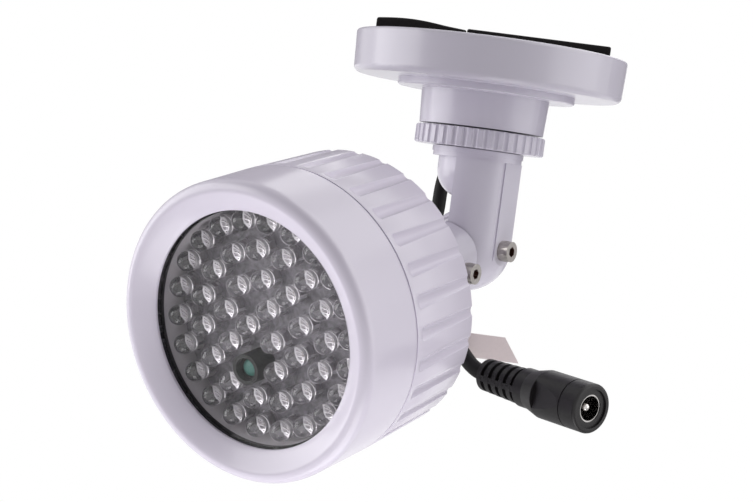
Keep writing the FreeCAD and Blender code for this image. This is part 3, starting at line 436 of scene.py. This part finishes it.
REAR_FACE = 53.9
REAR_RADIUS = 35.85
BACK_WALL_FACE = 56.9
STUD_HOLE = 4.0
SEAM_FACE = 78.2
SPIGOT = 33.9
SPIGOT_END = 81.6
HOUSING_BORE = 31.8
FLUTES = 30
FLUTE_TURN = 0.6
FLUTE_RADIUS = 2.0
FLUTE_DEPTH = 1.1
FLUTE_ACROSS = SHELL + FLUTE_RADIUS - FLUTE_DEPTH
FLUTE_SHOULDER = SEAM_FACE - 2.4
TOOL_OVERRUN = 2
housing = turned("ribbed_housing", [
    (STUD_HOLE, REAR_FACE), (REAR_RADIUS, REAR_FACE), (SHELL, SEAM_FACE),
    (SPIGOT, SEAM_FACE), (SPIGOT, SPIGOT_END), (HOUSING_BORE, SPIGOT_END),
    (HOUSING_BORE, BACK_WALL_FACE), (STUD_HOLE, BACK_WALL_FACE),
], closed=True, steps=240)
flute = turned("flute_cutter", [
    (0.0, REAR_FACE - TOOL_OVERRUN), (FLUTE_RADIUS, REAR_FACE - TOOL_OVERRUN),
    (FLUTE_RADIUS, FLUTE_SHOULDER), (FLUTE_RADIUS - 0.4, FLUTE_SHOULDER + 0.5), (0.0, FLUTE_SHOULDER + 0.6),
], steps=24)
outward = Matrix.Translation((FLUTE_ACROSS * MM, 0, 0))
cutters = []
for index in range(FLUTES):
    turn = Matrix.Rotation(math.radians(FLUTE_TURN + 360 / FLUTES * index), 4, "Z")
    cutters.append(copied(flute, turn @ outward))
bpy.data.objects.remove(flute)
cutter = joined("flute_cutters", cutters)
modify(housing, "BOOLEAN", operation="DIFFERENCE", object=cutter, solver="EXACT")
bpy.data.objects.remove(cutter)
soften(housing, 0.1, 28)
finish_piece(housing, abs_gloss, "white_gloss", "head", "rear_housing", smooth=40)


# Emitters: clear epoxy bodies over a silver-plated cup with its die, on two broad tarnished legs

BOARD_FRONT = 83.2
OUTER_RING = 25.5
INNER_RING = 4.6
RING_SPREAD = OUTER_RING - INNER_RING
# Each ring's radius, the angle in degrees of its first emitter, and the places round it
EMITTER_RINGS = {
    "emitters_inner": (INNER_RING, 67.0, 3),
    "emitters_second": (INNER_RING + 0.32 * RING_SPREAD, 8.0, 9),
    "emitters_third": (INNER_RING + 0.665 * RING_SPREAD, 20.5, 15),
    "emitters_outer": (OUTER_RING, 84.2, 22),
}
# The place in the second ring that the daylight sensor takes
SENSOR_STEP = 6

# The foot starts a little inside the board, so that no face of it lies on the board's own
FOOT_SINK = 0.05
FOOT_RADIUS = 2.9
FOOT_HEIGHT = 1.0
LENS_RADIUS = 2.5
DOME_START = 6.1
CUP_FLOOR = 4.0
CUP_RIM = 4.65
DIE_BASE = CUP_FLOOR + 0.02
RIDGE_PLACES = (-0.7, -0.24, 0.24, 0.7)
# Boxes of an emitter's metal, each with its size and its middle
BOND_WIRE = ((1.3, 0.09, 0.09), (-0.9, 0, 4.6))
LEG_BOXES = {
    "anvil": ((2.4, 0.5, 2.9), (0.7, 0.2, 1.45)),
    "post": ((1.3, 0.5, 4.4), (-1.5, -0.3, 2.2)),
    "tab": ((0.7, 1.2, 0.8), (-1.4, 0.5, 3.2)),
    "spur": ((0.5, 1.6, 1.4), (1.6, -0.6, 2.4)),
}
# The metal of each emitter is turned by this, and by a few degrees more that differ along its ring
METAL_TURN = 80
METAL_TURN_STEP = 7
METAL_TURN_SPREAD = 20


def board_place(radius, first, count, index):
    """Return the place on the board's front at one step of a ring."""
    angle = math.radians(first + 360 / count * index)
    spot = (radius * math.cos(angle) * MM, radius * math.sin(angle) * MM, BOARD_FRONT * MM)
    return Matrix.Translation(spot)


lens = turned(
    "lens",
    [(0.0, -FOOT_SINK), (FOOT_RADIUS, -FOOT_SINK), (FOOT_RADIUS, FOOT_HEIGHT), (LENS_RADIUS, FOOT_HEIGHT)]
    + [(LENS_RADIUS, 3.5), (LENS_RADIUS, DOME_START)]
    + arc((0, DOME_START), LENS_RADIUS, 12, 90, 7),
    steps=28,
)
cup = turned("cup", [
    (0.0, 2.8), (0.8, 2.8), (1.1, 4.3), (1.1, CUP_RIM), (0.92, CUP_RIM), (0.86, 4.4),
    (0.5, CUP_FLOOR), (0.0, CUP_FLOOR),
], steps=20)
flange = turned("flange", [(1.6, 3.8), (1.85, 3.7), (1.85, 3.3), (1.6, 3.4)], closed=True, steps=20)
ridges = [box_piece("ridge", (0.1, 1.7, 0.18), (place, 0, 4.62)) for place in RIDGE_PLACES]
cup = joined("cup", [cup, flange, *ridges, box_piece("wire", *BOND_WIRE)])
legs = joined("legs", [box_piece(name, size, middle) for name, (size, middle) in LEG_BOXES.items()])
die = turned("die", [
    (0.0, DIE_BASE), (0.5, DIE_BASE), (0.5, 4.1), (0.26, 4.12), (0.26, 4.34), (0.0, 4.34),
], steps=8)

cups, leg_pairs, dies = [], [], []
for label, (ring, first, count) in EMITTER_RINGS.items():
    bodies = []
    for index in range(count):
        if label == "emitters_second" and index == SENSOR_STEP:
            continue
        spot = board_place(ring, first, count, index)
        turn = METAL_TURN + index * METAL_TURN_STEP % METAL_TURN_SPREAD
        turned_spot = spot @ Matrix.Rotation(math.radians(turn), 4, "Z")
        bodies.append(copied(lens, spot))
        cups.append(copied(cup, turned_spot))
        leg_pairs.append(copied(legs, turned_spot))
        dies.append(copied(die, turned_spot))
    finish_piece(joined(label + "_epoxy", bodies), epoxy, "emitter", "head", label, smooth=50)
for model in (lens, cup, legs, die):
    bpy.data.objects.remove(model)
finish_piece(joined("emitter_cups", cups), silver, "contact", "head", smooth=30)
finish_piece(joined("emitter_legs", leg_pairs), tarnished, "contact", "head", smooth=30)
finish_piece(joined("emitter_dies", dies), gallium, "component", "head", smooth=30)


# Foam pads: cut strips with round corners, the left one lifted where it hasn't been pressed down

PAD_HALF_WIDTH = 16.0
PAD_THICKNESS = 2.6
PAD_TURN = Matrix.Rotation(math.radians(31), 4, "Z")
PAD_END = 31.0
LEFT_SPLIT = -7.15
RIGHT_SPLIT = -7.0
LIFT_START = -31.5
LIFT_END = -12.5
LIFT_HEIGHT = 0.75
SPLIT_FALL = 0.08


def foam_pad(node, low, high, lift):
    """Model one pad between two places along its length, with the lift of its face at each place."""
    size = (high - low, 2 * PAD_HALF_WIDTH, PAD_THICKNESS)
    pad = box_piece(node + "_foam", size, ((low + high) / 2, 0, -PAD_THICKNESS / 2))
    soften(pad, 0.5, 60, steps=3)
    bpy.ops.object.mode_set(mode="EDIT")
    for step in range(1, int(high - low)):
        bpy.ops.mesh.select_all(action="SELECT")
        bpy.ops.mesh.bisect(plane_co=((low + step) * MM, 0, 0), plane_no=(1, 0, 0))
    bpy.ops.object.mode_set(mode="OBJECT")
    for vertex in pad.data.vertices:
        share = (vertex.co.z / MM + PAD_THICKNESS) / PAD_THICKNESS
        vertex.co.z += lift(vertex.co.x / MM) * share * MM
    finish_piece(pad, foam, "foam", "bracket", node, smooth=40, frame_matrix=PAD_TURN)


def left_lift(place):
    """Return how far the left pad's face stands up, or falls towards the split, at a place along it."""
    if place < LIFT_END:
        return LIFT_HEIGHT * math.sin(math.pi * (place - LIFT_START) / (LIFT_END - LIFT_START))
    return SPLIT_FALL * (LIFT_END - place)


foam_pad("foam_pad_left", -PAD_END, LEFT_SPLIT, left_lift)
foam_pad("foam_pad_right", RIGHT_SPLIT, PAD_END, lambda place: 0.0)


# Socket screws: a knurled band round each head, and a dark sheet of painted shade inside its socket

SCREW_HEAD_RADIUS = 2.75
SCREW_HEAD_HEIGHT = 3.0
SOCKET_RADIUS = 1.42
SOCKET_FLOOR = SCREW_HEAD_HEIGHT - 1.6
SOCKET_MOUTH = SCREW_HEAD_HEIGHT - 0.05
BAND_OUTER = SCREW_HEAD_RADIUS + 0.06
BAND_INNER = SCREW_HEAD_RADIUS - 0.3
KNURLS = 26
# Every second step round a band is drawn in to this share of its radius
GROOVE_SHARE = 0.93
ALONG_X = Matrix.Rotation(math.radians(90), 4, "Y")
# Where each head rests: the hinge's from the hinge itself, the clamp's in the head's frame
HINGE_SEAT = Vector((11.6, 0, 0)) * MM
CLAMP_SEATS = [Vector((9.3, -3.1, 14.5)) * MM, Vector((9.3, -6.2, 23.0)) * MM]
AT_HINGE = Matrix.Translation(HINGE)


def screw_band(name, spot):
    """Model the knurled band of a head that rests at the spot and points to +X."""
    band = turned(name, [
        (BAND_INNER, 0.3), (BAND_OUTER, 0.45), (BAND_OUTER, 2.05), (BAND_INNER, 2.2),
    ], closed=True, steps=2 * KNURLS)
    for vertex in band.data.vertices:
        step = round(math.atan2(vertex.co.y, vertex.co.x) / math.pi * KNURLS)
        if step % 2:
            vertex.co.x *= GROOVE_SHARE
            vertex.co.y *= GROOVE_SHARE
    band.matrix_world = Matrix.Translation(spot) @ ALONG_X
    return band


def socket_shade_sheet(name, spot, turn=0):
    """Model a dark sheet of painted shade inside the hexagon socket of a head that rests at the spot."""
    shade_sheet = turned(name, [
        (0.0, SOCKET_FLOOR + 0.04), (SOCKET_RADIUS, SOCKET_FLOOR + 0.04), (SOCKET_RADIUS, SOCKET_MOUTH),
        (SOCKET_RADIUS - 0.05, SOCKET_MOUTH), (SOCKET_RADIUS - 0.07, SOCKET_FLOOR + 0.1),
        (0.0, SOCKET_FLOOR + 0.1),
    ], steps=6)
    shade_sheet.matrix_world = Matrix.Translation(spot) @ ALONG_X @ Matrix.Rotation(math.radians(turn), 4, "Z")
    return shade_sheet


band = screw_band("hinge_screw_band", HINGE_SEAT)
finish_piece(band, nickel, "steel", "arm", smooth=20, frame_matrix=AT_HINGE)
# Painted shade: a dark sheet inside the hinge screw's socket
shade_sheet = socket_shade_sheet("hinge_screw_socket_shade", HINGE_SEAT, turn=90)
finish_piece(shade_sheet, dark_steel_painted_shade, "steel", "arm", smooth=20, frame_matrix=AT_HINGE)
bands = joined("clamp_screw_bands", [screw_band("band", spot) for spot in CLAMP_SEATS])
finish_piece(bands, nickel, "steel", "head", smooth=20)
# Painted shade: a dark sheet inside each clamp screw's socket
shade_sheets = joined("clamp_screw_socket_shades", [socket_shade_sheet("shade_sheet", spot) for spot in CLAMP_SEATS])
finish_piece(shade_sheets, dark_steel_painted_shade, "steel", "head", smooth=20)


# Daylight sensor: a dark moulded body with a full round of teal filter glass in its face

SENSOR_RADIUS = 2.75
SENSOR_FACE = 5.1
FILTER_SEAT = 4.9
FILTER_RADIUS = 2.05
# The sensor keeps this from the third ring, between centres
SENSOR_GAP = 6.5
SENSOR_RING = EMITTER_RINGS["emitters_third"][0] - SENSOR_GAP
AT_SENSOR = board_place(SENSOR_RING, *EMITTER_RINGS["emitters_second"][1:], SENSOR_STEP)
sensor_body = turned("sensor_body", [
    (0.0, 0.0), (SENSOR_RADIUS, 0.0), (SENSOR_RADIUS, FILTER_SEAT),
    (SENSOR_RADIUS - 0.15, SENSOR_FACE - 0.05), (FILTER_RADIUS + 0.1, SENSOR_FACE),
    (FILTER_RADIUS + 0.05, FILTER_SEAT), (0.0, FILTER_SEAT),
], steps=48)
sensor_body.matrix_world = AT_SENSOR
finish_piece(sensor_body, nylon, "component", "head", "light_sensor")
filter_disc = turned("sensor_filter", [
    (0.0, FILTER_SEAT - 0.1), (FILTER_RADIUS, FILTER_SEAT - 0.1), (FILTER_RADIUS, SENSOR_FACE),
    (1.7, 5.35), (1.2, 5.52), (0.6, 5.6), (0.0, 5.62),
], steps=48)
filter_disc.matrix_world = AT_SENSOR
finish_piece(filter_disc, filter_glass, "sensor", "head")


# Cable: one smooth line from the first of the route's points to the last, rounding those between

# Points in millimetres, chosen one by one
ROUTE = [
    (-20.5, -45.13, -73.67),
    (-20.5, -33.53, -70.58),
    (-20.5, -9.5, -68.5),
    (-20.5, 16.2, -58.5),
    (-20.5, 16.2, -33.5),
    (-20.5, 34.6, -33.5),
    (-23.0, 33.5, -56.0),
    (-21.0, 24.0, -74.0),
    (-13.0, 9.0, -82.0),
    (-2.0, -6.0, -82.0),
    (11.6, -19.9, -80.0),
    (19.4, -26.9, -83.3),
    (25.87, -30.06, -86.87),
    (29.7, -31.2, -87.1),
]
CABLE_DIAMETER = 0.004
curve = bpy.data.curves.new("cable_line", "CURVE")
curve.dimensions = "3D"
curve.resolution_u = 12
curve.bevel_depth = CABLE_DIAMETER / 2
curve.bevel_resolution = 6
curve.use_fill_caps = True
spline = curve.splines.new("NURBS")
spline.points.add(len(ROUTE) - 1)
for point, spot in zip(spline.points, ROUTE):
    point.co = (spot[0] * MM, spot[1] * MM, spot[2] * MM, 1)
spline.order_u = 3
spline.use_endpoint_u = True
cable = bpy.data.objects.new("power_cable", curve)
bpy.context.scene.collection.objects.link(cable)
cable.data.materials.append(sheath)
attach(cable, "head")
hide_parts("cable")


# Power jack: the bridges across the relief's grooves, and the rounded contact pin

JACK_TURN = math.radians(-16.53)
JACK_TILT = math.radians(93.33)
TILT_AXIS = Vector((-math.sin(JACK_TURN), math.cos(JACK_TURN), 0))
JACK = Matrix.Translation(Vector(ROUTE[-1]) * MM) @ Matrix.Rotation(JACK_TILT, 4, TILT_AXIS)
RELIEF_RADIUS = 4.1
RELIEF_SWELL = 0.1
RELIEF_TIP_LENGTH = 1.0
GROOVES = 5
GROOVE_PITCH = 2.8
GROOVE_WIDTH = 1.3
BRIDGE_TURN = -98
BRIDGE_SIZE = (0.8, 1.5, GROOVE_WIDTH + 0.1)
BRIDGE_SINK = 0.45
bridges = []
for index in range(GROOVES):
    rib_radius = RELIEF_RADIUS + RELIEF_SWELL * index
    middle = RELIEF_TIP_LENGTH + GROOVE_PITCH * (index + 1) - GROOVE_WIDTH / 2
    for side in (0, 180):
        bridge = box_piece("bridge", BRIDGE_SIZE, (rib_radius - BRIDGE_SINK, 0, middle))
        turn = Matrix.Rotation(math.radians(BRIDGE_TURN + side), 4, "Z")
        bridge.matrix_world = turn @ bridge.matrix_world
        bridges.append(bridge)
bridges = finish_piece(joined("relief_bridges", bridges), pvc, "cable", "head", frame_matrix=JACK)

PIN_RADIUS = 1.05
PIN_ROOT = 28.1
PIN_TIP = 36.4
pin = turned(
    "contact_pin",
    [(0.0, PIN_ROOT), (PIN_RADIUS, PIN_ROOT), (PIN_RADIUS, PIN_TIP - 0.9)]
    + arc((0, PIN_TIP - PIN_RADIUS), PIN_RADIUS, 10, 90, 8),
    steps=40,
)
finish_piece(pin, bright_nickel, "contact", "head", "jack_pin", frame_matrix=JACK)


# Lamps, world, floor and cards

AIM = Vector((0, -0.03, -0.06))
# Each softbox: degrees round from +X, degrees up, metres away, width in metres and power in watts
SOFTBOXES = {
    "left_softbox": (-146, 8, 1.0, 1.0, 8.1),
    "right_softbox": (19, 20, 1.0, 1.0, 4.6),
    "low_softbox": (-52, -69, 0.38, 0.3, 0.75),
    "front_softbox": (-45, -35, 0.36, 0.3, 0.07),
    "back_softbox": (110, 35, 1.0, 0.6, 1.6),
    "top_softbox": (40, 65, 1.0, 0.9, 3.4),
}
WORLD_STRENGTH = 0.15
FLOOR_WIDTH = 1.6
FLOOR_HEIGHT = -0.5
DARK_CARD_SPOT = (-0.42, -0.63, -0.42)


def around_part(azimuth, rise, reach):
    """Return a spot at an angle in degrees round from +X, a rise in degrees and a distance in metres."""
    turn, lift = math.radians(azimuth), math.radians(rise)
    return AIM + reach * Vector((
        math.cos(turn) * math.cos(lift), math.sin(turn) * math.cos(lift), math.sin(lift),
    ))


def add_softbox(name, spot, width, power):
    """Add a square softbox that faces the part from its spot in metres."""
    data = bpy.data.lights.new(name, "AREA")
    data.size = width
    data.energy = power
    lamp = bpy.data.objects.new(name, data)
    bpy.context.scene.collection.objects.link(lamp)
    lamp.location = spot
    lamp.rotation_euler = (AIM - spot).to_track_quat("-Z", "Y").to_euler()
    lamp.visible_camera = False


def add_card(name, spot, width, code):
    """Add a matt card that shows in reflections alone."""
    deselect_all()
    bpy.ops.mesh.primitive_plane_add(size=width, location=spot)
    card = bpy.context.object
    card.name = name
    card.rotation_euler = (AIM - Vector(spot)).to_track_quat("Z", "Y").to_euler()
    card.data.materials.append(stage_paint(name + "_face", code, 1.0))
    card.visible_camera = False
    card.visible_diffuse = False
    card.visible_transmission = False
    card.visible_shadow = False


for name, (azimuth, rise, reach, width, power) in SOFTBOXES.items():
    add_softbox(name, around_part(azimuth, rise, reach), width, power)

# The world lights softly, and shows white to the eye and in glass and gloss
world = bpy.data.worlds.new("studio")
bpy.context.scene.world = world
world.use_nodes = True
tree = world.node_tree
tree.nodes.clear()
path = add_node(tree, "LightPath")
eye_or_glass = add_node(tree, "Math", {
    0: path.outputs["Is Camera Ray"], 1: path.outputs["Is Transmission Ray"],
}, operation="MAXIMUM")
seen = add_node(tree, "Math", {
    0: eye_or_glass.outputs[0], 1: path.outputs["Is Glossy Ray"],
}, operation="MAXIMUM")
soft = add_node(tree, "Background", {"Color": linear("F2F0F5"), "Strength": WORLD_STRENGTH})
white = add_node(tree, "Background", {"Color": linear("FFFFFF"), "Strength": 1.0})
mix = add_node(tree, "MixShader", {"Fac": seen.outputs[0]})
tree.links.new(soft.outputs[0], mix.inputs[1])
tree.links.new(white.outputs[0], mix.inputs[2])
tree.links.new(mix.outputs[0], add_node(tree, "OutputWorld").inputs["Surface"])

# Plain pale floor below the hanging part, wide enough for its shadow
deselect_all()
bpy.ops.mesh.primitive_plane_add(size=FLOOR_WIDTH, location=(0, 0, FLOOR_HEIGHT))
floor = bpy.context.object
floor.name = "studio_floor"
floor.data.materials.append(stage_paint("matt_white_sweep", "F2F2F2", 0.9))

# Dark card low on the left that the window mirrors, so that the board behind it shows,
# and two grey ones behind that the grazing edges mirror
add_card("dark_card", DARK_CARD_SPOT, 0.6, "0A0A0A")
add_card("grey_card_left", around_part(137, 24, 1.3), 1.1, "C0BCC4")
add_card("grey_card_right", around_part(84, 6, 1.3), 1.0, "B8B4BC")

bpy.context.scene.view_settings.view_transform = "Standard"
